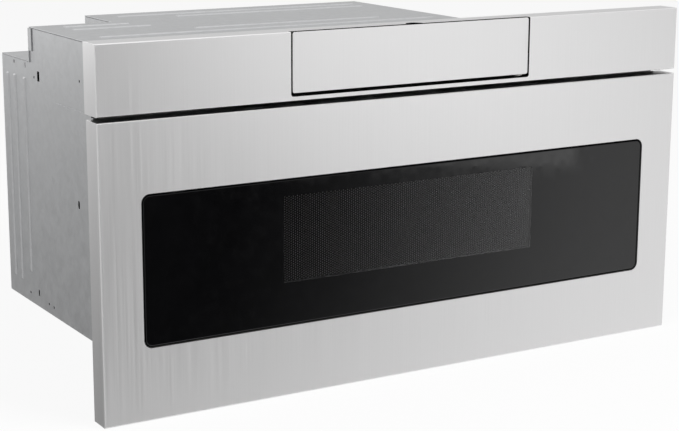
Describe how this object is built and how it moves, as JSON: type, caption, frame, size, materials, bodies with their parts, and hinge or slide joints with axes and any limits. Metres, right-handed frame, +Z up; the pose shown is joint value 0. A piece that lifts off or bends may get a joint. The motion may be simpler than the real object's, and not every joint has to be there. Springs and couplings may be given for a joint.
{
  "type": "microwave drawer",
  "caption": "Built-in microwave oven whose cooking chamber is a powered drawer behind a steel front with a dark window, under a fascia with a control panel that tilts out.",
  "frame": {"origin": "middle of the underside of the bounding box, on the plane of the chassis's underside", "axes": "+Z up, -Y out of the drawer front, +X to the right of a person who faces the front"},
  "size_m": [0.759, 0.583, 0.401],
  "materials": {
    "stainless": "satin stainless steel, brushed upright",
    "galvanised": "dull zinc-coated sheet steel",
    "black_glass": "polished black glass",
    "ceramic": "smooth off-white ceramic glass",
    "enamel": "smooth grey enamel",
    "screen_steel": "black perforated sheet",
    "black_plastic": "matt black",
    "grey_plastic": "satin grey",
    "white_plastic": "natural white",
    "seal_rubber": "matt black",
    "bare_aluminium": "plain mill finish",
    "motor_steel": "dark steel laminations and cans",
    "circuit_board": "green board"
  },
  "bodies": {
    "chassis": {"fascia_panel": "stainless", "fascia_back": "galvanised", "vent_grille": "grey_plastic", "base_pan": "galvanised", "left_side_panel": "galvanised", "right_side_panel": "galvanised", "top_cover": "galvanised", "notch_cover": "galvanised", "rear_cover": "galvanised", "front_frame": "galvanised", "oven_cavity": "enamel", "exhaust_duct": "galvanised", "oven_lamp": "white_plastic", "waveguide": "bare_aluminium", "magnetron": "bare_aluminium", "stirrer_motor": "motor_steel", "transformer": "motor_steel", "capacitor": "bare_aluminium", "fan_housing": "black_plastic", "fan_motor": "motor_steel", "power_board": "circuit_board", "noise_filter_board": "circuit_board", "cord_gland": "black_plastic", "drive_motor": "motor_steel", "tilt_motor": "motor_steel", "left_outer_rail": "galvanised", "right_outer_rail": "galvanised", "left_interlock_switch": "black_plastic", "right_interlock_switch": "black_plastic", "left_tilt_bracket": "galvanised", "right_tilt_bracket": "galvanised"},
    "drawer": {"drawer_front": "stainless", "drawer_back": "galvanised", "window_glass": "black_glass", "window_gasket": "seal_rubber", "screen_plate": "screen_steel", "choke_frame": "black_plastic", "drawer_tub": "enamel", "ceramic_floor": "ceramic", "drive_rack": "white_plastic", "left_inner_rail": "galvanised", "right_inner_rail": "galvanised", "left_striker": "white_plastic", "right_striker": "white_plastic"},
    "control_panel": {"control_face": "stainless", "control_housing": "grey_plastic", "keypad_glass": "black_glass", "control_board": "circuit_board", "tilt_sector": "white_plastic", "left_pivot_pin": "motor_steel", "right_pivot_pin": "motor_steel"},
    "left_slide_member": {"left_middle_rail": "galvanised"},
    "right_slide_member": {"right_middle_rail": "galvanised"},
    "drive_gear": {"drive_pinion": "motor_steel"},
    "tilt_gear": {"tilt_pinion": "motor_steel"},
    "left_plunger": {"left_interlock_plunger": "white_plastic"},
    "right_plunger": {"right_interlock_plunger": "white_plastic"},
    "fan_rotor": {"fan_impeller": "white_plastic"},
    "stirrer_rotor": {"stirrer": "bare_aluminium"}
  },
  "joints": [
    {"name": "drawer_slide", "type": "slide", "parent": "chassis", "child": "drawer", "axis": [0, -1, 0], "range_m": [0, 0.381]},
    {"name": "left_slide_extension", "type": "slide", "parent": "chassis", "child": "left_slide_member", "axis": [0, -1, 0], "range_m": [0, 0.191]},
    {"name": "right_slide_extension", "type": "slide", "parent": "chassis", "child": "right_slide_member", "axis": [0, -1, 0], "range_m": [0, 0.191]},
    {"name": "drive_pinion_spin", "type": "hinge", "parent": "chassis", "child": "drive_gear", "pos_m": [0.155, -0.2165, 0.026], "axis": [1, 0, 0], "range_deg": [0, 1600]},
    {"name": "control_panel_tilt", "type": "hinge", "parent": "chassis", "child": "control_panel", "pos_m": [0, -0.2815, 0.3476], "axis": [1, 0, 0], "range_deg": [0, 100]},
    {"name": "tilt_pinion_spin", "type": "hinge", "parent": "chassis", "child": "tilt_gear", "pos_m": [0.1471, -0.2615, 0.3476], "axis": [1, 0, 0], "range_deg": [-240, 0]},
    {"name": "left_interlock_press", "type": "slide", "parent": "chassis", "child": "left_plunger", "axis": [0, 1, 0], "range_m": [0, 0.0015], "stiffness_N_per_m": 400, "springref_m": -0.002},
    {"name": "right_interlock_press", "type": "slide", "parent": "chassis", "child": "right_plunger", "axis": [0, 1, 0], "range_m": [0, 0.0015], "stiffness_N_per_m": 400, "springref_m": -0.002},
    {"name": "fan_spin", "type": "hinge", "parent": "chassis", "child": "fan_rotor", "pos_m": [0.14, 0.272, 0.11], "axis": [0, 1, 0], "continuous": true},
    {"name": "stirrer_spin", "type": "hinge", "parent": "chassis", "child": "stirrer_rotor", "pos_m": [0, -0.0767, 0.088], "axis": [0, 0, 1], "continuous": true}
  ],
  "couplings": [
    {"joint": "left_slide_extension", "follows": "drawer_slide", "ratio": 0.5},
    {"joint": "right_slide_extension", "follows": "drawer_slide", "ratio": 0.5},
    {"joint": "drive_pinion_spin", "follows": "drawer_slide", "rad_per_m": 71.429},
    {"joint": "tilt_pinion_spin", "follows": "control_panel_tilt", "ratio": -2.3333}
  ]
}
